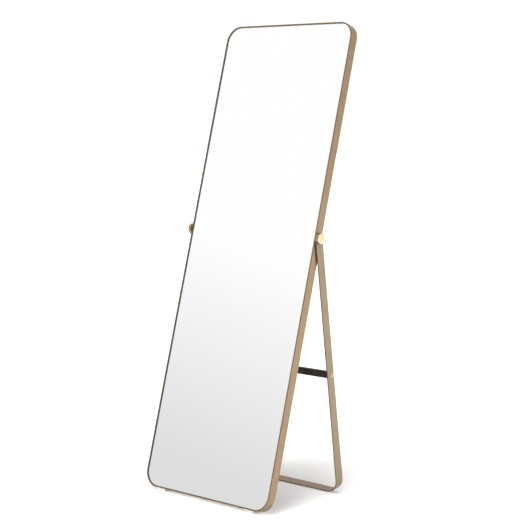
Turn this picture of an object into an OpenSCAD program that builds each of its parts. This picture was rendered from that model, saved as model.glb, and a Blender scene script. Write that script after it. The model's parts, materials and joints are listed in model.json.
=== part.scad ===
// Cheval floor mirror: a round-cornered mirror in a thin metal band leans back on a
// U-shaped leg that folds on two clamp knobs. Millimetres, +Z up, the glass faces -Y.
// The origin is on the floor, under the middle of the standing mirror's box.

/* [Frame] */
// Height of the frame, measured along the glass
frame_h = 1650; // [1300:10:1990]
// Width of the frame
frame_w = 560; // [440:5:700]
// Depth of the band, front to back
frame_d = 32; // [28:0.5:42]
// Outside radius of the four corners
corner_r = 55; // [40:1:90]
// Thickness of the band
band_t = 1.8; // [1.4:0.1:2.6]
// Width of the front lip
lip_w = 5; // [3:0.5:8]
// Thickness of the front lip
lip_t = 2.2; // [1.2:0.1:3]
// Gap of the saw cut where the two ends of the band meet
seam_gap = 0.3; // [0.2:0.1:0.6]

/* [Glass and backing] */
// Thickness of the mirror glass
glass_t = 4; // [3:0.5:5]
// Thickness of the foam tape behind the lip
tape_t = 0.5; // [0.3:0.1:1]
// Gap between the band and the edges of the glass and the board
edge_gap = 0.5; // [0.3:0.1:1]
// Width of the wooden battens
batten_w = 25; // [20:1:32]
// Thickness of the back board
board_t = 3; // [2.5:0.5:4]
// Depth of the band left open behind the board
back_recess = 8; // [5:0.5:9]

/* [Stance] */
// Angle that the mirror leans back
lean = 15.6; // [10:0.1:18]
// Angle of the leg behind upright
leg_angle = 8.1; // [6:0.1:14]
// Gap between the folded leg's bottom bar and the frame
fold_gap = 3.5; // [2:0.5:8]
// Height of the hinge above the frame's bottom edge
hinge_h = 912; // [760:1:1100]

/* [Leg] */
// Width of the leg's flat bar, front to back
bar_w = 34; // [30:0.2:42]
// Thickness of the leg's flat bar
bar_t = 4; // [3:0.5:6]
// Outside radius of the leg's two bottom bends
bend_r = 48; // [16:1:60]
// Gap between the frame's side and the leg
side_gap = 1.5; // [1.2:0.1:3]

/* [Crossbar] */
// Distance of the crossbar below the hinge, along the leg
cross_drop = 472; // [380:1:560]
// Height of the crossbar's tube
cross_h = 25; // [20:1:30]
// Depth of the crossbar's tube
cross_d = 12; // [10:0.5:14]
// Wall of the crossbar's tube
cross_wall = 1.2; // [1:0.1:1.8]
// Corner radius of the crossbar's tube
cross_r = 3; // [2.2:0.1:4]
// Length of the plug in each end of the tube
plug_l = 22; // [16:1:30]
// Diameter of the bolts that hold the crossbar
cross_bolt_d = 5; // [4:0.5:6]
// Diameter of the bolts' flat heads
cross_head_d = 20; // [12:1:20]
// Thickness of the bolts' flat heads
cross_head_t = 2.2; // [1.6:0.1:3]
// Distance of each bumper from the middle
bumper_x = 165; // [80:1:200]
// Diameter of the bumpers
bumper_d = 16; // [14:0.5:20]

/* [Hinge] */
// Diameter of the clamp knobs
knob_d = 37; // [34:0.5:50]
// Thickness of the clamp knobs
knob_t = 9; // [8:0.5:16]
// Radius on the knobs' outer edge
knob_edge = 2; // [0.5:0.1:3]
// Diameter of the knobs' threaded studs
stud_d = 6; // [5:0.5:6]
// Diameter of the washer under each knob
washer_d = 24; // [14:0.5:30]
// Thickness of the washer under each knob
washer_t = 1; // [0.6:0.1:1.6]
// Diameter of the threaded inserts in the battens
insert_d = 9; // [8.5:0.1:9.5]
// Length of the threaded inserts
insert_l = 14; // [10:0.5:18]
// Outside diameter of the bushes in the leg
bush_d = 9; // [8:0.1:10]
// Diameter of the hidden stop pins
stop_pin_d = 4; // [3:0.5:4.5]

/* [Feet and fasteners] */
// Thickness of the feet at their thin end
foot_h = 2; // [1.5:0.1:5]
// Length of the feet
foot_l = 40; // [24:1:60]
// Distance of the feet from the edges of the metal above them
foot_margin = 4; // [2:0.5:6]
// Diameter of the foot screws and the splice screws
screw_d = 4; // [3:0.5:4.5]
// Diameter of the board screws and the bumper screws
small_screw_d = 3.5; // [3:0.1:4]
// Length of the splice plate
splice_l = 90; // [70:1:120]
// Thickness of the splice plate
splice_t = 2; // [1.5:0.1:3]

/* [Hidden] */
$fn = 96;
cut = 1;                 // overrun of every cutting shape
run_gap = 0.1;           // clearance between faces that turn on each other
run_fit = 0.1;           // diametral clearance of a stud that turns in its hole
hole_gap = 0.6;          // diametral clearance of a plain clearance hole
pocket_gap = 0.2;        // clearance round the splice plate in its pocket
stop_gap = 0.3;          // diametral clearance of a stop pin in its slot
slot_wall = 2.5;         // metal between a stop pin and the edge of the leg's bar
flange_gap = 1;          // distance of a bush's flange from the stop pin
bumper_gap = 0.3;        // distance of a folded bumper from the board
tube_gap = 2;            // distance of the folded crossbar from the frame
stud_in_knob = 6;        // length of stud held in the knob
stud_short = 2;          // length of insert left free past the stud's end
pin_in_batten = 8;       // length of stop pin held in the batten
pin_short = 0.5;         // distance of a stop pin's end from the leg's outer face
head_ratio = 1.8;        // head diameter of a screw over its own diameter
head_t = 1.6;            // height of a small screw's head
foot_seat = 2.2;         // thickness of pad left under a foot screw's head
foot_head_t = 1.4;       // height of a foot screw's head
screw_in_batten = 12;    // length of screw held in a batten
screw_in_bar = 3.4;      // depth of the foot screws' holes in the leg's bar
bumper_screw_l = 6;      // length of bumper screw inside the tube
bumper_seat = 4;         // rubber left under a bumper screw's head
screw_margin = 40;       // distance of the side rows' end screws from the corners
end_screw_margin = 75;   // distance of the top and bottom rows' end screws from the corners
screw_hinge = 80;        // distance of the board screws from the hinge
screws_each = 3;         // board screws in each run below and above the hinge
board_screw_in = 12;     // length of board screw held in a batten
splice_edge = 1;         // distance of the splice plate from the batten's faces
splice_screw_x = [-34, -12, 12, 34];

// The frame's parts are drawn lying face up: X across, Y up the glass, Z to the face.
batten_z = back_recess + board_t;
glass_z = frame_d - lip_t - tape_t - glass_t;
batten_d = glass_z - batten_z;
hinge_d = batten_z + batten_d / 2;
batten_x = frame_w / 2 - band_t - batten_w;

// Place of the standing frame and of the hinge's axis.
rear_y = (frame_d * cos(lean) - frame_h * sin(lean)) / 2;
hinge_y = rear_y - hinge_d * cos(lean) + hinge_h * sin(lean);
hinge_z = foot_h + hinge_d * sin(lean) + hinge_h * cos(lean);

// The leg is drawn flat too, with its hinge's axis at the origin. Folding ends where its
// bottom bar, half a bar's width nearer to the frame than its axis, is fold_gap behind it.
leg_in = frame_w / 2 + side_gap;
leg_out = leg_in + bar_t;
leg_len = (hinge_z - foot_h - bar_w / 2 * sin(leg_angle)) / cos(leg_angle);
leg_reach = norm([leg_len, bar_w / 2]);
fold_angle = atan2(bar_w / 2, leg_len) + asin((hinge_d + fold_gap) / leg_reach);
stop_pin_r = bar_w / 2 - slot_wall - stop_pin_d / 2;
flange_d = 2 * (stop_pin_r - stop_pin_d / 2 - flange_gap);
stop_half = (lean + leg_angle - fold_angle) / 2;
stop_mid = fold_angle + stop_half;
cross_z = (cross_drop * sin(fold_angle) - hinge_d - tube_gap) / cos(fold_angle);
bumper_reach = (cross_drop - bumper_d / 2) * sin(fold_angle) + back_recess - bumper_gap;
bumper_z = (bumper_reach - hinge_d) / cos(fold_angle);
knob_x = leg_out + run_gap + washer_t;
foot_x = frame_w / 2 - max(corner_r, bend_r) - foot_l / 2 - foot_margin;

// Stands what was drawn lying on its back up into the leaning frame.
module stand_frame() {
    translate([0, rear_y, foot_h]) rotate([90 - lean, 0, 0]) children();
}

// Stands what was drawn flat up into the open leg.
module stand_leg() {
    translate([0, hinge_y, hinge_z]) rotate([90 + leg_angle, 0, 0]) children();
}

// Draws the right side's piece on the right (1) or on the left (-1).
module on_side(side) {
    mirror([side < 0 ? 1 : 0, 0, 0]) children();
}

// A round bar along X, from x, at the given distance up and towards the face.
module x_rod(d, l, x, y = 0, z = 0) {
    translate([x, y, z]) rotate([0, 90, 0]) cylinder(d = d, h = l);
}

// A round bar along Y, from y upwards.
module y_rod(d, l, x, y, z) {
    translate([x, y, z]) rotate([-90, 0, 0]) cylinder(d = d, h = l);
}

// The frame's outline, drawn in from its outer edge.
module outline(inset) {
    w = frame_w - 2 * inset;
    h = frame_h - 2 * inset;
    r = corner_r - inset;
    translate([-w / 2, inset + r]) square([w, h - 2 * r]);
    translate([-w / 2 + r, inset]) square([w - 2 * r, h]);
    for (x = [-1, 1], y = [inset + r, inset + h - r])
        translate([x * (w / 2 - r), y]) circle(r);
}

// A flat ring between two insets of the frame's outline.
module ring(outer, inner, t) {
    linear_extrude(t) difference() {
        outline(outer);
        outline(inner);
    }
}

// The leg's outline, drawn in from its outer edge and open at the top.
module leg_outline(inset, over) {
    w = leg_out - inset;
    r = bend_r - inset;
    low = -leg_len + inset;
    translate([-w, low + r]) square([2 * w, leg_len - inset - r + over]);
    translate([-w + r, low]) square([2 * (w - r), 2 * r]);
    for (x = [-1, 1]) translate([x * (w - r), low + r]) circle(r);
}

// A disc with a rounded outer edge, standing on Z = 0.
module round_disc(d, t, edge) {
    rotate_extrude() {
        square([d / 2, t - edge]);
        square([d / 2 - edge, t]);
        translate([d / 2 - edge, t - edge]) intersection() {
            circle(edge);
            square(edge);
        }
    }
}

// The crossbar's section, drawn in from its outer face.
module tube_section(inset) {
    w = cross_d - 2 * inset;
    h = cross_h - 2 * inset;
    r = cross_r - inset;
    square([w - 2 * r, h], center = true);
    square([w, h - 2 * r], center = true);
    for (x = [-1, 1], y = [-1, 1])
        translate([x * (w / 2 - r), y * (h / 2 - r)]) circle(r);
}

// Lays a section along X at the crossbar's place on the leg.
module along_crossbar(x, l) {
    translate([x, -cross_drop, cross_z - cross_d / 2])
        rotate([0, 90, 0]) linear_extrude(l) children();
}

// The arc that a stop pin travels in the leg, cut through the bar.
module stop_slot() {
    w = stop_pin_d + stop_gap;
    l = bar_t + 2 * cut;
    translate([leg_in - cut, 0, 0]) rotate([0, 90, 0]) {
        rotate([0, 0, 90 - stop_half]) rotate_extrude(angle = 2 * stop_half)
            translate([stop_pin_r - w / 2, 0]) square([w, l]);
        for (turn = [-stop_half, stop_half])
            rotate([0, 0, 90 + turn]) translate([stop_pin_r, 0, 0]) cylinder(d = w, h = l);
    }
}

// Where the board is screwed to the battens: [across, up].
function run(from, to) = [for (i = [0:screws_each - 1]) from + (to - from) * i / (screws_each - 1)];
side_screw_x = frame_w / 2 - band_t - batten_w / 2;
end_screw_x = frame_w / 2 - corner_r - end_screw_margin;
end_screw_y = band_t + batten_w / 2;
low_run = run(corner_r + screw_margin, hinge_h - screw_hinge);
high_run = run(hinge_h + screw_hinge, frame_h - corner_r - screw_margin);
board_screw_at = concat(
    [for (x = [-1, 1], y = concat(low_run, high_run)) [x * side_screw_x, y]],
    [for (x = [-1, 0, 1], y = [end_screw_y, frame_h - end_screw_y]) [x * end_screw_x, y]],
    [[0, hinge_h]]
);

// The holes that the board screws need, from the board's back inwards.
module board_screw_holes(d) {
    for (at = board_screw_at) translate([at.x, at.y, back_recess - cut])
        cylinder(d = d, h = cut + board_t + board_screw_in);
}

// A length of stop pin, from x outwards.
module stop_pin_shape(l, x) {
    x_rod(stop_pin_d, l, x, hinge_h + stop_pin_r * cos(stop_mid),
        hinge_d + stop_pin_r * sin(stop_mid));
}

module foot_screw_shank() {
    for (x = [-1, 1]) y_rod(screw_d, foot_seat + band_t + screw_in_batten,
        x * foot_x, -foot_seat, hinge_d);
}

module splice_screw_shape() {
    for (x = splice_screw_x) {
        y_rod(screw_d, band_t + splice_t + screw_in_batten, x, 0, hinge_d);
        translate([x, 0, hinge_d]) rotate([-90, 0, 0])
            cylinder(d1 = screw_d * head_ratio, d2 = screw_d, h = band_t);
    }
}

module frame() {
    pin_l = band_t + 2 * cut;
    color("#a79374") stand_frame() difference() {
        union() {
            ring(0, band_t, frame_d);
            translate([0, 0, frame_d - lip_t]) ring(0, lip_w, lip_t);
        }
        for (side = [-1, 1]) on_side(side) {
            x_rod(stud_d + hole_gap, pin_l, frame_w / 2 - band_t - cut, hinge_h, hinge_d);
            stop_pin_shape(pin_l, frame_w / 2 - band_t - cut);
        }
        foot_screw_shank();
        splice_screw_shape();
        translate([-seam_gap / 2, -cut, -cut])
            cube([seam_gap, lip_w + 2 * cut, frame_d + 2 * cut]);
    }
}

module frame_splice() {
    color("#9b9ea2") stand_frame() difference() {
        translate([-splice_l / 2, band_t, batten_z + splice_edge])
            cube([splice_l, splice_t, batten_d - 2 * splice_edge]);
        splice_screw_shape();
    }
}

module splice_screws() {
    color("#8c8f93") stand_frame() splice_screw_shape();
}

module glazing_strip() {
    color("#2b2a28") stand_frame() translate([0, 0, glass_z + glass_t])
        ring(band_t + edge_gap, lip_w, tape_t);
}

module mirror_glass() {
    color("#e4e9ea") stand_frame() translate([0, 0, glass_z])
        linear_extrude(glass_t) outline(band_t + edge_gap);
}

module side_batten(side) {
    color("#c9a877") stand_frame() on_side(side) difference() {
        translate([batten_x, corner_r, batten_z])
            cube([batten_w, frame_h - 2 * corner_r, batten_d]);
        x_rod(insert_d, insert_l + cut, frame_w / 2 - band_t - insert_l, hinge_h, hinge_d);
        stop_pin_shape(pin_in_batten + cut, frame_w / 2 - band_t - pin_in_batten);
        board_screw_holes(small_screw_d);
    }
}

module end_batten(y) {
    w = frame_w - 2 * corner_r;
    translate([-w / 2, y, batten_z]) cube([w, batten_w, batten_d]);
}

module batten_top() {
    color("#c9a877") stand_frame() difference() {
        end_batten(frame_h - band_t - batten_w);
        board_screw_holes(small_screw_d);
    }
}

module batten_bottom() {
    color("#c9a877") stand_frame() difference() {
        end_batten(band_t);
        board_screw_holes(small_screw_d);
        foot_screw_shank();
        splice_screw_shape();
        translate([-splice_l / 2 - pocket_gap, band_t - cut, batten_z + splice_edge - pocket_gap])
            cube([splice_l + 2 * pocket_gap, splice_t + cut,
                batten_d - 2 * splice_edge + 2 * pocket_gap]);
    }
}

module batten_middle() {
    color("#c9a877") stand_frame() difference() {
        translate([-batten_x, hinge_h - batten_w / 2, batten_z])
            cube([2 * batten_x, batten_w, batten_d]);
        board_screw_holes(small_screw_d);
    }
}

module corner_blocks() {
    color("#bf9c69") stand_frame() for (side = [-1, 1], turn = [0, 90])
        on_side(side) translate([frame_w / 2 - corner_r,
            turn == 0 ? frame_h - corner_r : corner_r, batten_z])
            rotate([0, 0, -turn]) rotate_extrude(angle = 90)
                translate([corner_r - band_t - batten_w, 0]) square([batten_w, batten_d]);
}

module back_board() {
    color("#5a4a3c") stand_frame() difference() {
        translate([0, 0, back_recess]) linear_extrude(board_t) outline(band_t + edge_gap);
        board_screw_holes(small_screw_d);
    }
}

module board_screws() {
    color("#b3b5b8") stand_frame() for (at = board_screw_at)
        translate([at.x, at.y, back_recess]) {
            cylinder(d = small_screw_d, h = board_t + board_screw_in);
            mirror([0, 0, 1]) round_disc(small_screw_d * head_ratio, head_t, head_t / 2);
        }
}

module hinge_insert(side) {
    color("#c8a24c") stand_frame() on_side(side) difference() {
        x_rod(insert_d, insert_l, frame_w / 2 - band_t - insert_l, hinge_h, hinge_d);
        x_rod(stud_d + run_fit, insert_l + 2 * cut, frame_w / 2 - band_t - insert_l - cut,
            hinge_h, hinge_d);
    }
}

module stop_pin(side) {
    color("#8c8f93") stand_frame() on_side(side)
        stop_pin_shape(pin_in_batten + band_t + side_gap + bar_t - pin_short,
            frame_w / 2 - band_t - pin_in_batten);
}

// A wedge-shaped pad: its top follows the metal above it, and its base is level.
module wedge(top) {
    rotate([90, 0, 90]) linear_extrude(foot_l, center = true)
        polygon([top[0], top[1], [top[1].x, 0], [top[0].x, 0]]);
}

function under_frame(z) = [rear_y - z * cos(lean), foot_h + z * sin(lean)];
function under_leg(z) = [
    hinge_y - z * cos(leg_angle) + leg_len * sin(leg_angle),
    hinge_z - z * sin(leg_angle) - leg_len * cos(leg_angle)
];

module frame_foot(side) {
    color("#8a8378") difference() {
        translate([side * foot_x, 0, 0])
            wedge([for (z = [foot_margin, frame_d - foot_margin]) under_frame(z)]);
        stand_frame() {
            foot_screw_shank();
            y_rod(screw_d * head_ratio + hole_gap, frame_d, side * foot_x,
                -foot_seat - frame_d, hinge_d);
        }
    }
}

module frame_foot_screws() {
    color("#8c8f93") stand_frame() {
        foot_screw_shank();
        for (x = [-1, 1]) y_rod(screw_d * head_ratio, foot_head_t, x * foot_x,
            -foot_seat - foot_head_t, hinge_d);
    }
}

module leg_screw_shank() {
    for (x = [-1, 1]) y_rod(screw_d, foot_seat + screw_in_bar, x * foot_x,
        -leg_len - foot_seat, 0);
}

module leg_frame() {
    color("#ae9b7f") stand_leg() difference() {
        union() {
            translate([0, 0, -bar_w / 2]) linear_extrude(bar_w) difference() {
                leg_outline(0, 0);
                leg_outline(bar_t, cut);
            }
            for (side = [-1, 1]) on_side(side) x_rod(bar_w, bar_t, leg_in);
        }
        for (side = [-1, 1]) on_side(side) {
            x_rod(bush_d, bar_t + 2 * cut, leg_in - cut);
            x_rod(cross_bolt_d + hole_gap, bar_t + 2 * cut, leg_in - cut, -cross_drop,
                cross_z - cross_d / 2);
            stop_slot();
        }
        leg_screw_shank();
    }
}

module crossbar() {
    color("#26201c") stand_leg() difference() {
        along_crossbar(-leg_in, 2 * leg_in) difference() {
            tube_section(0);
            tube_section(cross_wall);
        }
        bumper_screw_shape();
    }
}

module crossbar_plug(side) {
    color("#1d1b1a") stand_leg() on_side(side) difference() {
        along_crossbar(leg_in - plug_l, plug_l) tube_section(cross_wall);
        x_rod(cross_bolt_d, plug_l + 2 * cut, leg_in - plug_l - cut, -cross_drop,
            cross_z - cross_d / 2);
    }
}

module crossbar_bolt(side) {
    color("#b5a285") stand_leg() on_side(side) {
        x_rod(cross_bolt_d, plug_l - stud_short + bar_t, leg_in - plug_l + stud_short,
            -cross_drop, cross_z - cross_d / 2);
        translate([leg_out, -cross_drop, cross_z - cross_d / 2]) rotate([0, 90, 0])
            round_disc(cross_head_d, cross_head_t, cross_head_t / 2);
    }
}

module bumper_screw_shape() {
    for (x = [-1, 1]) translate([x * bumper_x, -cross_drop, cross_z - bumper_screw_l])
        cylinder(d = small_screw_d, h = bumper_screw_l + bumper_seat);
}

module crossbar_bumpers() {
    color("#1b1a19") stand_leg() difference() {
        for (x = [-1, 1]) translate([x * bumper_x, -cross_drop, cross_z])
            cylinder(d = bumper_d, h = bumper_z - cross_z);
        bumper_screw_shape();
        for (x = [-1, 1]) translate([x * bumper_x, -cross_drop, cross_z + bumper_seat])
            cylinder(d = small_screw_d * head_ratio + hole_gap, h = bumper_z - cross_z);
    }
}

module bumper_screws() {
    color("#b3b5b8") stand_leg() {
        bumper_screw_shape();
        for (x = [-1, 1]) translate([x * bumper_x, -cross_drop, cross_z + bumper_seat])
            round_disc(small_screw_d * head_ratio, head_t, head_t / 2);
    }
}

module leg_bush(side) {
    color("#d9d6cc") stand_leg() on_side(side) difference() {
        union() {
            x_rod(bush_d, bar_t, leg_in);
            x_rod(flange_d, side_gap - run_gap, leg_in - side_gap + run_gap);
        }
        x_rod(stud_d + run_fit, side_gap + bar_t + 2 * cut, leg_in - side_gap - cut);
    }
}

module leg_foot(side) {
    color("#8a8378") difference() {
        translate([side * foot_x, 0, 0])
            wedge([for (z = [foot_margin - bar_w / 2, bar_w / 2 - foot_margin]) under_leg(z)]);
        stand_leg() {
            leg_screw_shank();
            y_rod(screw_d * head_ratio + hole_gap, bar_w, side * foot_x,
                -leg_len - foot_seat - bar_w, 0);
        }
    }
}

module leg_foot_screws() {
    color("#8c8f93") stand_leg() {
        leg_screw_shank();
        for (x = [-1, 1]) y_rod(screw_d * head_ratio, foot_head_t, x * foot_x,
            -leg_len - foot_seat - foot_head_t, 0);
    }
}

module clamp_knob(side) {
    color("#e2cf9d") stand_leg() on_side(side) difference() {
        translate([knob_x, 0, 0]) rotate([0, 90, 0]) round_disc(knob_d, knob_t, knob_edge);
        x_rod(stud_d, stud_in_knob + cut, knob_x - cut);
    }
}

module knob_stud(side) {
    end = frame_w / 2 - band_t - insert_l + stud_short;
    color("#b3b5b8") stand_leg() on_side(side) x_rod(stud_d, knob_x + stud_in_knob - end, end);
}

module knob_washer(side) {
    color("#9b9ea2") stand_leg() on_side(side) difference() {
        x_rod(washer_d, washer_t, leg_out + run_gap);
        x_rod(stud_d, washer_t + 2 * cut, leg_out + run_gap - cut);
    }
}

frame();
frame_splice();
splice_screws();
glazing_strip();
mirror_glass();
side_batten(-1);  // batten_left
side_batten(1);  // batten_right
batten_top();
batten_bottom();
batten_middle();
corner_blocks();
back_board();
board_screws();
hinge_insert(-1);  // hinge_insert_left
hinge_insert(1);  // hinge_insert_right
stop_pin(-1);  // stop_pin_left
stop_pin(1);  // stop_pin_right
frame_foot(-1);  // frame_foot_left
frame_foot(1);  // frame_foot_right
frame_foot_screws();
leg_frame();
crossbar();
crossbar_plug(-1);  // crossbar_plug_left
crossbar_plug(1);  // crossbar_plug_right
crossbar_bolt(-1);  // crossbar_bolt_left
crossbar_bolt(1);  // crossbar_bolt_right
crossbar_bumpers();
bumper_screws();
leg_bush(-1);  // leg_bush_left
leg_bush(1);  // leg_bush_right
leg_foot(-1);  // leg_foot_left
leg_foot(1);  // leg_foot_right
leg_foot_screws();
clamp_knob(-1);  // clamp_knob_left
knob_stud(-1);  // knob_stud_left
knob_washer(-1);  // knob_washer_left
clamp_knob(1);  // clamp_knob_right
knob_stud(1);  // knob_stud_right
knob_washer(1);  // knob_washer_right
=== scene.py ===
import json
from math import cos, pi, radians, sin

import bmesh
import bpy
from mathutils import Matrix, Vector


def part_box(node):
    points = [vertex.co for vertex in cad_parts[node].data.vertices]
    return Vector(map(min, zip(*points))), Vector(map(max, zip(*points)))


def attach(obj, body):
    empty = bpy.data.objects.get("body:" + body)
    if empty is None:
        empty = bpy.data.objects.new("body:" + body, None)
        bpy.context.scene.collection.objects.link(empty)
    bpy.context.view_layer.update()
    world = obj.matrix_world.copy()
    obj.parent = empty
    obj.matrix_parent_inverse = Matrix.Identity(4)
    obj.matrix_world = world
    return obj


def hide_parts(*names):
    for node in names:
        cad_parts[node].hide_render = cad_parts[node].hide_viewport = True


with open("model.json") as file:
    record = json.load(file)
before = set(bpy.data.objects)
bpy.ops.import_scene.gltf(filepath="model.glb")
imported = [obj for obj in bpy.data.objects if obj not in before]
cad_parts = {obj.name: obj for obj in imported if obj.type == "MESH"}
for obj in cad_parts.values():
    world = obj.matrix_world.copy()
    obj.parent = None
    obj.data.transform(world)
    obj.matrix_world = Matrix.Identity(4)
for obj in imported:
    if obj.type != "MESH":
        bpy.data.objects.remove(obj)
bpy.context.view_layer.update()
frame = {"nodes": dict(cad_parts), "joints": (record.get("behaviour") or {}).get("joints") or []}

# Studio: a white floor under an even white sky, with a long low light panel in front. What
# shines sees the sky a little greyer low down in front, as the leaning glass shows there.
scene = bpy.context.scene
scene.view_settings.view_transform = "Standard"
scene.view_settings.look = "None"

FLOOR_SIZE = 60.0
FLOOR_WHITE = 0.93
# The sky's strength: as seen, as light, as light from the panel, and low down in what shines.
SKY_SEEN, SKY_LIGHT, PANEL_LIGHT, SHINE_LOW = 1.1, 0.55, 14.0, 0.73
# Heights are sines of the angle above the floor. The panel fades in from its top downwards.
PANEL_TOP, PANEL_FULL = 0.34, 0.26
SHINE_LOW_AT, SHINE_FULL_AT = 0.147, 0.303
# How far to each side of the mirror's plane the sky turns from back to front.
SIDE_BLEND = 0.3

bm = bmesh.new()
bmesh.ops.create_grid(bm, x_segments=1, y_segments=1, size=FLOOR_SIZE / 2)
floor_mesh = bpy.data.meshes.new("floor")
bm.to_mesh(floor_mesh)
bm.free()
floor = bpy.data.objects.new("floor", floor_mesh)
scene.collection.objects.link(floor)
paper = bpy.data.materials.new("floor_paper")
paper.use_nodes = True
paper_shader = paper.node_tree.nodes["Principled BSDF"]
paper_shader.inputs["Base Color"].default_value = (FLOOR_WHITE, FLOOR_WHITE, FLOOR_WHITE, 1)
paper_shader.inputs["Roughness"].default_value = 1.0
paper_shader.inputs["Specular IOR Level"].default_value = 0.0
floor_mesh.materials.append(paper)

sky = bpy.data.worlds.new("sky")
sky.use_nodes = True
scene.world = sky
sky_tree = sky.node_tree


def sky_node(kind, out, **values):
    """Adds a node to the sky, sets or links its inputs by name and returns an output."""
    made = sky_tree.nodes.new("ShaderNode" + kind)
    for key, value in values.items():
        socket = made.inputs[key.replace("_", " ")]
        if isinstance(value, bpy.types.NodeSocket):
            sky_tree.links.new(value, socket)
        else:
            socket.default_value = value
    return made.outputs[out]


look_along = sky_node("TexCoord", "Generated")
across, up = (sky_node("SeparateXYZ", axis, Vector=look_along) for axis in "YZ")
in_front = sky_node("MapRange", "Result", Value=across, From_Min=SIDE_BLEND,
                    From_Max=-SIDE_BLEND)
greyer = sky_node("MapRange", "Result", Value=up, From_Min=SHINE_LOW_AT, From_Max=SHINE_FULL_AT,
                  To_Min=SHINE_LOW, To_Max=1.0)
shine = sky_node("Mix", "Result", Factor=in_front, A=1.0, B=greyer)
panel = sky_node("MapRange", "Result", Value=up, From_Min=PANEL_TOP, From_Max=PANEL_FULL,
                 To_Min=SKY_LIGHT, To_Max=PANEL_LIGHT)
light = sky_node("Mix", "Result", Factor=in_front, A=SKY_LIGHT, B=panel)
is_seen = sky_node("LightPath", "Is Camera Ray")
is_shine = sky_node("LightPath", "Is Glossy Ray")
seen = sky_node("Mix", "Result", Factor=is_seen, A=light, B=SKY_SEEN)
strength = sky_node("Mix", "Result", Factor=is_shine, A=seen, B=shine)
background = sky_tree.nodes["Background"]
background.inputs["Color"].default_value = (1, 1, 1, 1)
sky_tree.links.new(strength, background.inputs["Strength"])

# Key light: a wide softbox, nearly overhead and a little in front. The mirror doesn't show it.
KEY_STRENGTH = 1.8
KEY_SPREAD = radians(25)
KEY_WAY = Vector((0.0, 0.25, -1.0))

key_data = bpy.data.lights.new("key_softbox", "SUN")
key_data.energy = KEY_STRENGTH
key_data.angle = KEY_SPREAD
key = bpy.data.objects.new("key_softbox", key_data)
scene.collection.objects.link(key)
key.rotation_euler = KEY_WAY.to_track_quat("-Z", "Y").to_euler()
key.visible_glossy = False

# Camera: eye height, off the mirror's right front corner.
SENSOR_MM, LENS_MM = 36.0, 94.12
EYE = (3.1232, -3.5438, 1.3083)
TURN = (radians(83.557), radians(-0.126), radians(40.737))

camera_data = bpy.data.cameras.new("camera")
camera_data.sensor_width = SENSOR_MM
camera_data.lens = LENS_MM
camera = bpy.data.objects.new("camera", camera_data)
scene.collection.objects.link(camera)
camera.location = EYE
camera.rotation_euler = TURN
scene.camera = camera

# Frame: a 32 mm deep aluminium channel, bent round at the corners and anodised a satin
# champagne. The face of its narrow front lip is painted a darker champagne, as painted shade
# for the dark surroundings it reflects. The mouth of the lip, where the glass sits, is painted
# a dark bronze, as painted shadow in the gap by the glass. The band's two ends meet under the
# bottom.
LEAN = radians(15.6)
BAND_DEPTH = 0.032
BAND_THICK = 0.0018
LIP_THICK = 0.0022
EASED = 0.0004
HAIR_ROUND, FINE_ROUND, SHEET_ROUND = 0.0001, 0.0002, 0.0003
MERGE = 1e-6
STRAIGHT = radians(0.5)
FACING = 0.9

low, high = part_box("frame")
frame_w = high.x - low.x
frame_h = (high.z - low.z - BAND_DEPTH * sin(LEAN)) / cos(LEAN)
stand = (Matrix.Translation((0, high.y - frame_h * sin(LEAN), low.z))
         @ Matrix.Rotation(pi / 2 - LEAN, 4, "X"))


def copied(node, place):
    """A merged copy of a CAD node, laid flat in the frame that place stands up."""
    bm = bmesh.new()
    bm.from_mesh(frame["nodes"][node].data)
    bmesh.ops.remove_doubles(bm, verts=bm.verts, dist=MERGE)
    bmesh.ops.dissolve_limit(bm, angle_limit=STRAIGHT, verts=bm.verts, edges=bm.edges)
    bmesh.ops.transform(bm, matrix=place.inverted(), verts=bm.verts)
    return bm


def soften(bm, radius, segments=2, sharper_than=35, finish=None):
    """Rounds every hard edge, in a material of its own, and leaves the flat faces flat."""
    bmesh.ops.recalc_face_normals(bm, faces=bm.faces)
    hard = [e for e in bm.edges
            if len(e.link_faces) == 2 and e.calc_face_angle(0) > radians(sharper_than)]
    rounds = set(bmesh.ops.bevel(bm, geom=hard, offset=radius, segments=segments, profile=0.5,
                                 affect="EDGES", material=-1, clamp_overlap=True)["faces"])
    for face in bm.faces:
        face.smooth = True
        if finish is not None and face in rounds:
            face.material_index = finish
    for edge in bm.edges:
        alike = len({face in rounds for face in edge.link_faces}) == 1
        edge.smooth = alike and edge.calc_face_angle(0) < radians(sharper_than)


def finished(bm, name, body, materials, place, nodes):
    """Makes the object, puts its place into its mesh and ties it to its body."""
    bmesh.ops.transform(bm, matrix=place, verts=bm.verts)
    mesh = bpy.data.meshes.new(name)
    bm.to_mesh(mesh)
    bm.free()
    if "custom_normal" in mesh.attributes:
        mesh.attributes.remove(mesh.attributes["custom_normal"])
    for material in materials:
        mesh.materials.append(material)
    piece = bpy.data.objects.new(name, mesh)
    scene.collection.objects.link(piece)
    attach(piece, body)
    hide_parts(*nodes)


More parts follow.
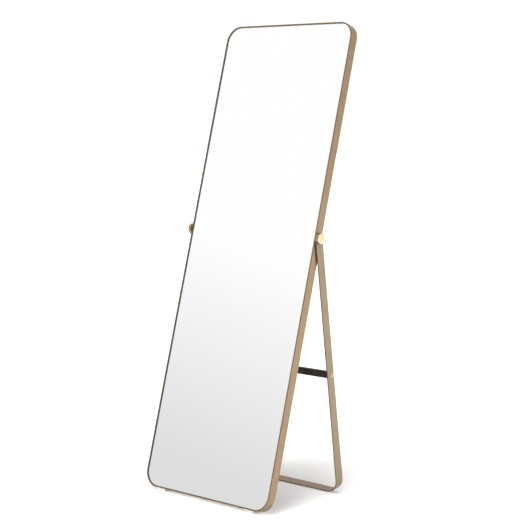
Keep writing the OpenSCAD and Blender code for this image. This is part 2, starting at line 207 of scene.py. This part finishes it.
class Wire:
    """A value that varies over a surface: arithmetic on it adds Math nodes."""

    def __init__(self, tree, socket):
        self.tree = tree
        self.socket = socket

    def node(self, kind, settings=None, out=0, **values):
        """Adds any node: settings first, then its inputs by name (_ for a space) or index."""
        made = self.tree.nodes.new("ShaderNode" + kind)
        for key, value in (settings or {}).items():
            setattr(made, key, value)
        for key, value in values.items():
            by_index = key[1:].isdigit()
            socket = made.inputs[int(key[1:]) if by_index else key.replace("_", " ")]
            if isinstance(value, Wire):
                self.tree.links.new(value.socket, socket)
            else:
                socket.default_value = value
        return Wire(self.tree, made.outputs[out])

    def math(self, operation, first, second=0.0):
        """Arithmetic on one or two values."""
        return self.node("Math", {"operation": operation}, i0=first, i1=second)

    def __add__(self, other):
        return self.math("ADD", self, other)

    def __sub__(self, other):
        return self.math("SUBTRACT", self, other)

    def __mul__(self, other):
        return self.math("MULTIPLY", self, other)

    def above(self, limit):
        """1 where this value is over the limit, otherwise 0."""
        return self.math("GREATER_THAN", self, limit)

    def wave(self, pitch):
        """A sine from 0 to 1 that repeats every pitch metres."""
        return self.math("SINE", self * (2 * pi / pitch)) * 0.5 + 0.5

    def noise(self, scale, detail=2.0, roughness=0.5):
        """Noise from 0 to 1 at this place, with this many features per metre."""
        return self.node("TexNoise", Vector=self, Scale=scale, Detail=detail, Roughness=roughness)

    def stretched(self, angle, stretch=(1, 1, 1)):
        """This place turned about X, which is across the mirror, then scaled."""
        flat = self.node("Mapping", Vector=self, Rotation=(angle, 0, 0))
        return flat.node("Mapping", Vector=flat, Scale=stretch)

    def part(self, axis):
        """One coordinate of this place."""
        return self.node("SeparateXYZ", out="XYZ".index(axis), Vector=self)

    def shade(self, dark, light):
        """A colour between two, by this value."""
        return self.node("Mix", {"data_type": "RGBA"}, out=2, i0=self, i6=(*dark, 1), i7=(*light, 1))


def new_material(name, metallic=0.0, **constants):
    """A material with its constants on the shader, and the wire of the object's own place."""
    material = bpy.data.materials.new(name)
    material.use_nodes = True
    tree = material.node_tree
    shader = tree.nodes["Principled BSDF"]
    shader.inputs["Metallic"].default_value = metallic
    for key, value in constants.items():
        shader.inputs[key.replace("_", " ")].default_value = value
    return material, Wire(tree, tree.nodes.new("ShaderNodeTexCoord").outputs["Object"])


def feed(material, bump, depth, **values):
    """Wires what varies into the shader: colour, roughness and the height of any bump."""
    tree = material.node_tree
    if depth:
        values["Normal"] = bump.node("Bump", Height=bump, Distance=depth, Strength=1.0)
    for key, value in values.items():
        socket = tree.nodes["Principled BSDF"].inputs[key.replace("_", " ")]
        tree.links.new(value.socket, socket)
    return material


def drawn_metal(name, dark, light, roughness, angle, depth=0.00002):
    """Anodised metal: fine lines drawn along its height, soft clouds and a few dull specks."""
    material, place = new_material(name, metallic=1.0)
    stretch = (900, 900, 6)
    drawn = place.stretched(angle, stretch).noise(1.0, detail=3.0)
    clouds = place.noise(9.0, detail=3.0)
    specks = place.noise(420.0, detail=1.0).above(0.69)
    tone = drawn * 0.7 + clouds * 0.5 - 0.1
    return feed(material, drawn, depth, Base_Color=tone.shade(dark, light),
                Roughness=drawn * 0.10 + clouds * 0.08 + specks * 0.08 + (roughness - 0.09))


band_side = drawn_metal("champagne_band", (0.265, 0.182, 0.107), (0.360, 0.255, 0.158), 0.36,
                        LEAN)
# Painted shade: the lip's front face is a darker champagne for the dark surroundings it reflects.
band_front_painted_shade = drawn_metal("champagne_front_painted_shade", (0.125, 0.093, 0.062), (0.190, 0.143, 0.098), 0.40,
                         LEAN)
# Painted shadow: the lip's mouth is a near-black bronze for the shade in the gap by the glass.
band_mouth_painted_shadow = drawn_metal("mouth_painted_shadow", (0.030, 0.021, 0.014), (0.068, 0.048, 0.033), 0.42,
                         LEAN)
band_edge = drawn_metal("champagne_worn_edge", (0.22, 0.155, 0.095), (0.38, 0.28, 0.18), 0.30,
                        LEAN)
SIDE, FRONT, MOUTH, ROUNDED = range(4)

bm = copied("frame", stand)
soften(bm, EASED, finish=ROUNDED)
# Lip faces take the painted-shade front colour or the painted-shadow mouth colour.
for face in bm.faces:
    in_lip = all(v.co.z > BAND_DEPTH - LIP_THICK - EASED for v in face.verts)
    if in_lip and face.material_index != ROUNDED:
        face.material_index = FRONT if face.normal.z > FACING else MOUTH
finished(bm, "frame_band", "mirror", [band_side, band_front_painted_shade, band_mouth_painted_shadow, band_edge], stand,
         ["frame"])

# Glazing strip: a thin ring of grey foam tape that the glass beds on, behind the lip.
foam, place = new_material("foam_tape_cells")
cells = place.node("TexVoronoi", Vector=place, Scale=2400.0)
feed(foam, cells, 0.0002, Base_Color=cells.shade((0.012, 0.012, 0.012), (0.05, 0.05, 0.05)),
     Roughness=cells * 0.2 + 0.75)
bm = copied("glazing_strip", stand)
soften(bm, HAIR_ROUND)
finished(bm, "glazing_strip_foam", "mirror", [foam], stand, ["glazing_strip"])

# Mirror glass: 4 mm float glass with a ground edge, silvered and painted on its back. The
# reflection comes from the whole front, as the silver is only the glass's depth behind it.
CORNER_RADIUS = 0.055
CORNER_STEPS = 20
GLASS_INSET = 0.0023
SEAMED = 0.0006
SILVERED, GROUND, PAINTED = range(3)

silver, place = new_material("silvered_face", metallic=1.0)
smears = place.stretched(LEAN, (1, 1, 0.4)).noise(3.0, detail=4.0)
feed(silver, smears, 0.0, Base_Color=smears.shade((0.985, 0.99, 0.988), (1.0, 1.0, 1.0)),
     Roughness=smears * 0.012)
ground, place = new_material("ground_glass_edge", IOR=1.5)
grind = place.noise(900.0, detail=2.0)
feed(ground, grind, 0.00002, Base_Color=grind.shade((0.16, 0.30, 0.25), (0.30, 0.48, 0.42)),
     Roughness=grind * 0.3 + 0.2)
back_paint, place = new_material("mirror_back_paint")
rolled = place.noise(300.0, detail=3.0)
feed(back_paint, rolled, 0.00003,
     Base_Color=rolled.shade((0.19, 0.20, 0.21), (0.26, 0.27, 0.28)),
     Roughness=rolled * 0.2 + 0.4)


def height_of(node, place):
    """A node's lowest and highest Z in the frame that place stands up."""
    bm = copied(node, place)
    heights = [v.co.z for v in bm.verts]
    bm.free()
    return min(heights), max(heights)


rear_z, front_z = height_of("mirror_glass", stand)
bm = bmesh.new()
pane = bmesh.ops.create_grid(bm, x_segments=1, y_segments=1, size=0.5)["verts"]
bmesh.ops.scale(bm, vec=(frame_w - 2 * GLASS_INSET, frame_h - 2 * GLASS_INSET, 1), verts=pane)
bmesh.ops.translate(bm, vec=(0, frame_h / 2, rear_z), verts=pane)
bmesh.ops.bevel(bm, geom=pane, offset=CORNER_RADIUS - GLASS_INSET, segments=CORNER_STEPS,
                profile=0.5, affect="VERTICES", material=-1)
raised = bmesh.ops.extrude_face_region(bm, geom=bm.faces[:])["geom"]
bmesh.ops.translate(bm, vec=(0, 0, front_z - rear_z),
                    verts=[v for v in raised if isinstance(v, bmesh.types.BMVert)])
bmesh.ops.recalc_face_normals(bm, faces=bm.faces)
for face in bm.faces:
    face.material_index = (SILVERED if face.normal.z > FACING else
                           PAINTED if face.normal.z < -FACING else GROUND)
soften(bm, SEAMED, finish=GROUND)
finished(bm, "mirror_pane", "mirror", [silver, ground, back_paint], stand, ["mirror_glass"])


# Battens and corner blocks: planed pine, stapled and glued into a ring behind the glass,
# with one strip across at the height of the hinge.
def planed_wood(name, along, dark=(0.42, 0.27, 0.13), light=(0.66, 0.48, 0.27)):
    """Pine with grain that runs along one way: wide growth rings and fine fibres."""
    material, place = new_material(name)
    grain, fibre = [60, 60, 60], [1500, 1500, 1500]
    grain["XYZ".index(along)], fibre["XYZ".index(along)] = 2.5, 30
    rings = place.stretched(LEAN, grain).noise(1.0, detail=2.0) * 0.045
    rings = rings.wave(0.004)
    fibres = place.stretched(LEAN, fibre).noise(1.0, detail=2.0)
    return feed(material, fibres, 0.00008,
                Base_Color=(rings * 0.5 + fibres * 0.5).shade(light, dark),
                Roughness=fibres * 0.25 + 0.55)


pine_up = planed_wood("pine_up", "Z")
pine_across = planed_wood("pine_across", "X")
pine_block = planed_wood("pine_block", "Y", (0.36, 0.22, 0.10), (0.58, 0.40, 0.21))
SAWN = 0.0005
for node, wood in (("batten_left", pine_up), ("batten_right", pine_up),
                   ("batten_top", pine_across), ("batten_bottom", pine_across),
                   ("batten_middle", pine_across), ("corner_blocks", pine_block)):
    bm = copied(node, stand)
    soften(bm, SAWN)
    finished(bm, node + "_wood", "mirror", [wood], stand, [node])

# Back board: 3 mm hardboard, pressed on a wire screen that has left its weave on the face
# that shows, with long fibres and darker blotches in it.
SCREEN_PITCH = 0.0016

hardboard, place = new_material("hardboard_screen_side")
flat = place.stretched(LEAN)
weave = flat.part("X").wave(SCREEN_PITCH) * flat.part("Z").wave(SCREEN_PITCH)
fibres = place.noise(700.0, detail=4.0, roughness=0.7)
blotches = place.noise(7.0, detail=4.0)
tone = fibres * 0.55 + blotches * 0.55 + weave * 0.25 - 0.2
feed(hardboard, weave * 0.6 + fibres * 0.4, 0.00025,
     Base_Color=tone.shade((0.075, 0.044, 0.026), (0.215, 0.136, 0.080)),
     Roughness=fibres * 0.2 + 0.65)
bm = copied("back_board", stand)
soften(bm, SHEET_ROUND)
finished(bm, "back_board_panel", "mirror", [hardboard], stand, ["back_board"])

# Board screws: small zinc-plated pan-head screws with a cross recess, through the board
# into the battens.
# A cross recess: the width of its arms over their reach, their reach over the head's radius,
# and its depth over the head's height.
CROSS_WIDTH, CROSS_REACH, RECESS_DEPTH = 0.3, 0.55, 0.9
# A recess narrows to these shares of its outline at these shares of its depth.
RECESS_STEPS = ((0.92, 0.6), (0.5, 1.0))
# A pan head's flat over its radius, its straight rim over its height, and its dome's steps.
PAN_FLAT, PAN_RIM, DOME_STEPS = 0.62, 0.35, 4
# A countersunk head's flat over its radius, and the height of its rim.
SUNK_FLAT, SUNK_RIM = 0.96, 0.0001
POINT = 0.25
ROUND = 24
SCREW_ROUND = 0.00005

zinc, place = new_material("zinc_plate", metallic=1.0)
spangle = place.node("TexVoronoi", out=1, Vector=place, Scale=900.0)
glint = spangle.node("SeparateColor", Color=spangle)
haze = place.noise(60.0, detail=3.0)
feed(zinc, haze, 0.00002,
     Base_Color=(glint * 0.5 + haze * 0.5).shade((0.40, 0.41, 0.42), (0.66, 0.67, 0.69)),
     Roughness=glint * 0.12 + haze * 0.15 + 0.18)


def separate_boxes(node, place):
    """The (lowest, highest) corners of a node's separate solids, laid flat."""
    bm = copied(node, place)
    boxes, left = [], set(bm.verts)
    while left:
        solid, edge_of_it = set(), {left.pop()}
        while edge_of_it:
            solid |= edge_of_it
            edge_of_it = {e.other_vert(v) for v in edge_of_it for e in v.link_edges} - solid
        left -= solid
        corners = [[pick_end(v.co[axis] for v in solid) for axis in range(3)]
                   for pick_end in (min, max)]
        boxes.append([Vector(corner) for corner in corners])
    bm.free()
    return boxes


def drawn_on(bm, loop, radius, z, steps):
    """Draws a loop round Z on through (radius, height) steps and returns its last edges."""
    for next_radius, next_z in steps:
        made = bmesh.ops.extrude_edge_only(bm, edges=loop)["geom"]
        verts = {v for v in made if isinstance(v, bmesh.types.BMVert)}
        loop = list({e for v in verts for e in v.link_edges if set(e.verts) <= verts})
        size = next_radius / radius
        bmesh.ops.scale(bm, vec=(size, size, 1), verts=list(verts))
        bmesh.ops.translate(bm, vec=(0, 0, next_z - z), verts=list(verts))
        radius, z = next_radius, next_z
    return loop


def cross_cut(arm):
    """The corners of a cross recess whose arms reach this far."""
    half = arm * CROSS_WIDTH
    return [Matrix.Rotation(turn * pi / 2, 3, "Z") @ Vector((x, y, 0))
            for turn in range(4) for x, y in ((arm, -half), (arm, half), (half, half))]


def fastener(bm, place, outside, recess, depth):
    """Adds a screw on Z: its outside's (radius, height) steps from top to tip, and the
    corners and depth of the recess in its head."""
    before = set(bm.verts)
    radius, top = outside[0]
    rim = bmesh.ops.create_circle(bm, segments=ROUND, radius=radius,
                                  matrix=Matrix.Translation((0, 0, top)))["verts"]
    rim_edges = list({e for v in rim for e in v.link_edges})
    corners = [bm.verts.new((corner.x, corner.y, top)) for corner in recess]
    cut = [bm.edges.new(pair) for pair in zip(corners, corners[1:] + corners[:1])]
    bmesh.ops.triangle_fill(bm, edges=rim_edges + cut, use_beauty=True)
    tip = drawn_on(bm, rim_edges, radius, top, outside[1:])
    floor_of_cut = drawn_on(bm, cut, 1.0, top,
                            [(size, top - depth * down) for size, down in RECESS_STEPS])
    for loop in (tip, floor_of_cut):
        bmesh.ops.contextual_create(bm, geom=loop)
    added = [v for v in bm.verts if v not in before]
    bmesh.ops.transform(bm, matrix=place, verts=added)


def pan_head(head, height, shank, length):
    """The outside of a pan-head screw from its top's flat to its tip."""
    turns = [step * pi / 2 / DOME_STEPS for step in range(DOME_STEPS + 1)]
    dome = [(head * (PAN_FLAT + (1 - PAN_FLAT) * sin(turn)),
             height * (PAN_RIM + (1 - PAN_RIM) * cos(turn))) for turn in turns]
    return dome + [(head, 0), (shank, 0), (shank, shank - length), (shank * POINT, -length)]


def flat_head(head, height, shank, length):
    """The outside of a countersunk screw from its flat top to its tip."""
    return [(head * SUNK_FLAT, 0), (head, -SUNK_RIM), (shank, -height), (shank, shank - length),
            (shank * POINT, -length)]


def screws(name, body, node, stand_up, heading, head, shank, height, sunk=False):
    """One piece for a node's screws. heading turns +Z to the way that their heads face."""
    bm = bmesh.new()
    for box in separate_boxes(node, stand_up @ heading):
        middle = (box[0] + box[1]) / 2
        seat = box[1].z - (0 if sunk else height)
        length = seat - box[0].z
        outside = (flat_head if sunk else pan_head)(head, height, shank, length)
        fastener(bm, Matrix.Translation((middle.x, middle.y, seat)), outside,
                 cross_cut(head * CROSS_REACH), height * RECESS_DEPTH)
    bmesh.ops.recalc_face_normals(bm, faces=bm.faces)
    soften(bm, SCREW_ROUND, segments=1)
    finished(bm, name, body, [zinc], stand_up @ heading, [node])


FACES_BACK = Matrix.Rotation(pi, 4, "X")
FACES_DOWN = Matrix.Rotation(pi / 2, 4, "X")
FACES_FRONT = Matrix.Identity(4)
SMALL_SCREW, SCREW = 0.00175, 0.002
HEAD_RATIO = 1.8
SMALL_HEAD, FOOT_HEAD = 0.0016, 0.0014
screws("board_screws_zinc", "mirror", "board_screws", stand, FACES_BACK,
       SMALL_SCREW * HEAD_RATIO, SMALL_SCREW, SMALL_HEAD)

# Splice: a steel plate inside the bottom of the band, with four countersunk screws that
# pull the band's two ends together over it.
rolled_steel, place = new_material("rolled_steel", metallic=1.0)
mill = place.stretched(LEAN, (30, 700, 700)).noise(1.0, detail=4.0)
stain = place.noise(40.0, detail=3.0)
feed(rolled_steel, mill, 0.00003,
     Base_Color=(mill * 0.5 + stain * 0.5).shade((0.24, 0.24, 0.25), (0.50, 0.50, 0.52)),
     Roughness=mill * 0.2 + stain * 0.2 + 0.25)
bm = copied("frame_splice", stand)
soften(bm, SHEET_ROUND)
finished(bm, "frame_splice_plate", "mirror", [rolled_steel], stand, ["frame_splice"])
screws("splice_screws_zinc", "mirror", "splice_screws", stand, FACES_DOWN,
       SCREW * HEAD_RATIO, SCREW, BAND_THICK, sunk=True)

# Hinge inserts and stop pins: knurled brass inserts that the clamp knobs screw into, and
# plain steel pins that stop the leg. Both are pressed into the side battens.
THREAD_PITCH, THREAD_DEPTH = 0.001, 0.0004


def threaded(name, dark, light, roughness):
    """Metal with a fine thread that runs along X."""
    material, place = new_material(name, metallic=1.0)
    thread = place.part("X").wave(THREAD_PITCH)
    haze = place.noise(150.0, detail=3.0)
    return feed(material, thread, THREAD_DEPTH,
                Base_Color=(thread * 0.6 + haze * 0.4).shade(dark, light),
                Roughness=haze * 0.25 + roughness)


insert_brass = threaded("insert_brass_thread", (0.40, 0.26, 0.09), (0.78, 0.56, 0.25),
                        0.22)
for side in ("left", "right"):
    node = "hinge_insert_" + side
    bm = copied(node, stand)
    soften(bm, SHEET_ROUND)
    finished(bm, node + "_brass", "mirror", [insert_brass], stand, [node])
    node = "stop_pin_" + side
    bm = copied(node, stand)
    soften(bm, EASED)
    finished(bm, node + "_steel", "mirror", [rolled_steel], stand, [node])

# Feet: warm grey rubber wedges, moulded, screwed under the frame and the leg. Each screw's
# head is sunk in the rubber, clear of the floor.
MOULDED = 0.0008

pad_rubber, place = new_material("foot_pad_rubber", Specular_IOR_Level=0.3)
swirl = place.noise(120.0, detail=3.0)
pits = place.node("TexVoronoi", Vector=place, Scale=1500.0)
feed(pad_rubber, pits, 0.00008,
     Base_Color=(swirl * 0.7 + pits * 0.3).shade((0.17, 0.155, 0.132), (0.33, 0.305, 0.265)),
     Roughness=pits * 0.15 + swirl * 0.1 + 0.6)


def foot(node, body, stand_up):
    """One rubber wedge."""
    bm = copied(node, stand_up)
    soften(bm, MOULDED)
    finished(bm, node + "_pad", body, [pad_rubber], stand_up, [node])


for side in ("left", "right"):
    foot("frame_foot_" + side, "mirror", stand)
screws("frame_foot_screws_zinc", "mirror", "frame_foot_screws", stand, FACES_DOWN,
       SCREW * HEAD_RATIO, SCREW, FOOT_HEAD)

# Leg: one flat aluminium bar, 34 by 4 mm, bent to a U and anodised like the frame. Its inside
# and its front edge are painted darker, as painted shade. It hangs on the frame by its round
# ends.
LEG_ANGLE = radians(8.1)

hinge = Vector(next(joint["pos_m"] for joint in frame["joints"] if joint["name"] == "leg_fold"))
stand_leg = Matrix.Translation(hinge) @ Matrix.Rotation(pi / 2 + LEG_ANGLE, 4, "X")

leg_side = drawn_metal("champagne_leg", (0.245, 0.184, 0.122), (0.340, 0.265, 0.185), 0.38,
                       -LEG_ANGLE)
# Painted shade: the leg's inner faces are a darker champagne for the less light that reaches them.
leg_inside_painted_shade = drawn_metal("champagne_leg_inner_painted_shade", (0.205, 0.141, 0.096), (0.295, 0.203, 0.141),
                         0.42, -LEG_ANGLE)
# Painted shade: the leg's front edge is a dark bronze for the dark surroundings it reflects.
leg_front_painted_shade = drawn_metal("champagne_leg_edge_painted_shade", (0.130, 0.100, 0.068), (0.210, 0.165, 0.115), 0.42,
                        -LEG_ANGLE)
leg_edge = drawn_metal("leg_worn_edge", (0.20, 0.155, 0.105), (0.40, 0.31, 0.215), 0.34,
                       -LEG_ANGLE)
OUTSIDE, INSIDE, LEG_FRONT, LEG_ROUNDED = range(4)

bm = copied("leg_frame", stand_leg)
soften(bm, EASED, finish=LEG_ROUNDED)
# Front-facing faces take the painted-shade front edge, inward faces the painted-shade inside.
for face in bm.faces:
    if face.material_index != LEG_ROUNDED:
        middle = face.calc_center_median()
        if face.normal.z > FACING:
            face.material_index = LEG_FRONT
        elif face.normal.x * middle.x < 0 or face.normal.y > FACING:
            face.material_index = INSIDE
finished(bm, "leg_bar", "leg", [leg_side, leg_inside_painted_shade, leg_front_painted_shade, leg_edge], stand_leg,
         ["leg_frame"])

# Crossbar: a flat steel tube, sprayed black with a slight orange peel, between the sides of
# the leg. A black plastic plug closes each end and takes its bolt.
black, place = new_material("crossbar_black_paint", Coat_Weight=0.05, Coat_Roughness=0.3)
peel = place.noise(350.0, detail=2.0)
dust = place.noise(25.0, detail=4.0)
feed(black, peel, 0.00006,
     Base_Color=(peel * 0.3 + dust * 0.7).shade((0.006, 0.0035, 0.002), (0.022, 0.014, 0.009)),
     Roughness=peel * 0.15 + dust * 0.15 + 0.28)
plastic, place = new_material("plug_black_plastic")
pebble = place.noise(1200.0, detail=2.0)
feed(plastic, pebble, 0.00004,
     Base_Color=pebble.shade((0.010, 0.010, 0.010), (0.032, 0.031, 0.030)),
     Roughness=pebble * 0.2 + 0.38)
bm = copied("crossbar", stand_leg)
soften(bm, HAIR_ROUND, sharper_than=60)
finished(bm, "crossbar_tube", "leg", [black], stand_leg, ["crossbar"])
for side in ("left", "right"):
    node = "crossbar_plug_" + side
    bm = copied(node, stand_leg)
    soften(bm, FINE_ROUND, sharper_than=60)
    finished(bm, node + "_black", "leg", [plastic], stand_leg, [node])

# Crossbar bolts: low, wide heads with a hexagon socket, anodised like the leg.
BOLT_HEAD, BOLT_HEIGHT = 0.010, 0.0022
BOLT_SHANK = 0.0025
SOCKET, SOCKET_DEPTH = 0.0023, 0.0014
RIM_STEPS = 5

bolt_metal = drawn_metal("champagne_bolt", (0.34, 0.26, 0.17), (0.52, 0.41, 0.28), 0.30,
                         0, depth=0.00001)
hexagon = [Matrix.Rotation(corner * pi / 3, 3, "Z") @ Vector((SOCKET, 0, 0))
           for corner in range(6)]
for side, faces_out in (("left", -pi / 2), ("right", pi / 2)):
    node = "crossbar_bolt_" + side
    heading = Matrix.Rotation(faces_out, 4, "Y")
    bolt_low, bolt_high = separate_boxes(node, stand_leg @ heading)[0]
    middle = (bolt_low + bolt_high) / 2
    seat = bolt_high.z - BOLT_HEIGHT
    turns = [step * pi / 2 / RIM_STEPS for step in range(RIM_STEPS + 1)]
    rim = [(BOLT_HEAD - BOLT_HEIGHT * (1 - sin(turn)), BOLT_HEIGHT * cos(turn)) for turn in turns]
    bm = bmesh.new()
    fastener(bm, Matrix.Translation((middle.x, middle.y, seat)),
             rim + [(BOLT_SHANK, 0), (BOLT_SHANK, bolt_low.z - seat)], hexagon, SOCKET_DEPTH)
    bmesh.ops.recalc_face_normals(bm, faces=bm.faces)
    soften(bm, SCREW_ROUND, segments=1, sharper_than=50)
    finished(bm, node + "_head", "leg", [bolt_metal], stand_leg @ heading, [node])

# Bumpers: two rubber buttons on the crossbar, which rest on the back board when the leg is
# folded. Their screws sit deep in them.
rubber, place = new_material("bumper_rubber_grain", Specular_IOR_Level=0.3)
grain = place.node("TexVoronoi", Vector=place, Scale=1400.0)
dust = place.noise(80.0, detail=3.0)
feed(rubber, grain, 0.0001,
     Base_Color=(grain * 0.4 + dust * 0.6).shade((0.010, 0.009, 0.008), (0.050, 0.045, 0.040)),
     Roughness=grain * 0.15 + dust * 0.15 + 0.62)
bm = copied("crossbar_bumpers", stand_leg)
soften(bm, MOULDED)
finished(bm, "crossbar_bumpers_rubber", "leg", [rubber], stand_leg, ["crossbar_bumpers"])
screws("bumper_screws_zinc", "leg", "bumper_screws", stand_leg, FACES_FRONT,
       SMALL_SCREW * HEAD_RATIO, SMALL_SCREW, SMALL_HEAD)

# Bushes: white nylon, turned, pressed into the leg's round ends. Their flanges keep the leg
# off the frame.
TURNED_PITCH = 0.0004

nylon, place = new_material("bush_nylon_turned", Subsurface_Weight=0.1)
lines = place.part("X").wave(TURNED_PITCH)
cloud = place.noise(200.0, detail=2.0)
feed(nylon, lines, 0.00002, Base_Color=cloud.shade((0.60, 0.58, 0.52), (0.76, 0.74, 0.69)),
     Roughness=cloud * 0.15 + 0.35)
for side in ("left", "right"):
    node = "leg_bush_" + side
    bm = copied(node, stand_leg)
    soften(bm, FINE_ROUND)
    finished(bm, node + "_nylon", "leg", [nylon], stand_leg, [node])
    foot("leg_foot_" + side, "leg", stand_leg)
screws("leg_foot_screws_zinc", "leg", "leg_foot_screws", stand_leg, FACES_DOWN,
       SCREW * HEAD_RATIO, SCREW, FOOT_HEAD)

# Clamp knobs: turned brass discs with a fine straight knurl round the rim and turning marks
# on the face. The knurled rim is painted a dark brown, as painted shade. Each has a steel stud
# and a steel washer of its own.
KNOB_BACK_ROUND, KNOB_ROUND = 0.001, 0.002
KNURLS = 90
KNURL_DEPTH = 0.00025
KNURL_MARGIN = 0.0004
ROUND_STEPS = 6
STUD_RADIUS, STUD_IN = 0.003, 0.006
FACE_FLAT = 1.5
RIM_FROM = 0.99
KNOB_SHARP = radians(50)
RINGS_PER_METRE = 2500.0
NEAR = 1e-5


def turned_brass(name, dark, light, roughness):
    """Brass with rings round the knobs' axis from the lathe, and soft tarnish."""
    material, place = new_material(name, metallic=1.0)
    centred = place.node("Mapping", Vector=place, Location=(0, -hinge.y, -hinge.z))
    across, up = centred.part("Y"), centred.part("Z")
    squared = across * across + up * up
    from_axis = squared.math("SQRT", squared)
    rings = from_axis.node("CombineXYZ", X=from_axis * RINGS_PER_METRE).noise(1.0, detail=2.0)
    tarnish = place.noise(70.0, detail=4.0)
    return feed(material, rings, 0.00004,
                Base_Color=(rings * 0.5 + tarnish * 0.5).shade(dark, light),
                Roughness=rings * 0.12 + tarnish * 0.10 + roughness)


knob_face = turned_brass("knob_brass_face", (0.60, 0.49, 0.29), (0.76, 0.665, 0.45), 0.24)
# Painted shade: the knurled rim is a dark brown brass, far darker than the face.
knob_rim_painted_shade = turned_brass("knob_brass_rim_painted_shade", (0.085, 0.055, 0.026), (0.19, 0.135, 0.07), 0.34)
stud_steel = threaded("stud_steel_thread", (0.28, 0.28, 0.29), (0.62, 0.62, 0.64),
                      0.2)


def quarter(radius, z, size, start):
    """Points of a quarter round about (radius, z), from its start angle."""
    turns = [start + step * pi / 2 / ROUND_STEPS for step in range(ROUND_STEPS + 1)]
    return [(radius + size * cos(turn), z + size * sin(turn)) for turn in turns]


knob_low, knob_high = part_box("clamp_knob_right")
knob_radius = (knob_high.y - knob_low.y) / 2
knob_thick = knob_high.x - knob_low.x
knurl = (KNOB_BACK_ROUND + KNURL_MARGIN, knob_thick - KNOB_ROUND - KNURL_MARGIN)
profile = [(0, STUD_IN), (STUD_RADIUS, STUD_IN), (STUD_RADIUS, 0)]
profile += quarter(knob_radius - KNOB_BACK_ROUND, KNOB_BACK_ROUND, KNOB_BACK_ROUND, -pi / 2)
profile += [(knob_radius, z) for z in knurl]
profile += quarter(knob_radius - KNOB_ROUND, knob_thick - KNOB_ROUND, KNOB_ROUND, 0)
profile += [(knob_radius - FACE_FLAT * KNOB_ROUND, knob_thick), (0, knob_thick)]
for side, faces_out in (("left", -pi / 2), ("right", pi / 2)):
    body = "knob_" + side
    knob_low, knob_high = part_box("clamp_knob_" + side)
    inner = knob_high.x if side == "left" else knob_low.x
    place_knob = Matrix.Translation((inner, hinge.y, hinge.z)) @ Matrix.Rotation(faces_out, 4, "Y")
    bm = bmesh.new()
    points = [bm.verts.new((radius, 0, z)) for radius, z in profile]
    line = [bm.edges.new(pair) for pair in zip(points, points[1:])]
    bmesh.ops.spin(bm, geom=points + line, cent=(0, 0, 0), axis=(0, 0, 1), angle=2 * pi,
                   steps=2 * KNURLS, use_merge=True)
    bmesh.ops.remove_doubles(bm, verts=bm.verts, dist=MERGE)
    bmesh.ops.recalc_face_normals(bm, faces=bm.faces)
    for face in bm.faces:
        face.smooth = True
        middle = face.calc_center_median()
        on_rim = middle.xy.length > knob_radius * RIM_FROM and knurl[0] < middle.z < knurl[1]
        # Rim faces take the painted-shade brass.
        face.material_index = 1 if on_rim else 0
    grooves = [v for v in bm.verts
               if v.co.xy.length > knob_radius - NEAR
               and knurl[0] - NEAR < v.co.z < knurl[1] + NEAR
               and round(v.co.xy.angle_signed(Vector((1, 0)), 0) / (pi / KNURLS)) % 2]
    bmesh.ops.scale(bm, vec=(1 - KNURL_DEPTH / knob_radius,) * 2 + (1,), verts=grooves)
    for edge in bm.edges:
        edge.smooth = edge.calc_face_angle(0) < KNOB_SHARP
    finished(bm, "clamp_knob_" + side + "_brass", body, [knob_face, knob_rim_painted_shade], place_knob,
             ["clamp_knob_" + side])
    for node, metal in (("knob_stud_" + side, stud_steel), ("knob_washer_" + side, rolled_steel)):
        bm = copied(node, place_knob)
        soften(bm, HAIR_ROUND)
        finished(bm, node + "_steel", body, [metal], place_knob, [node])
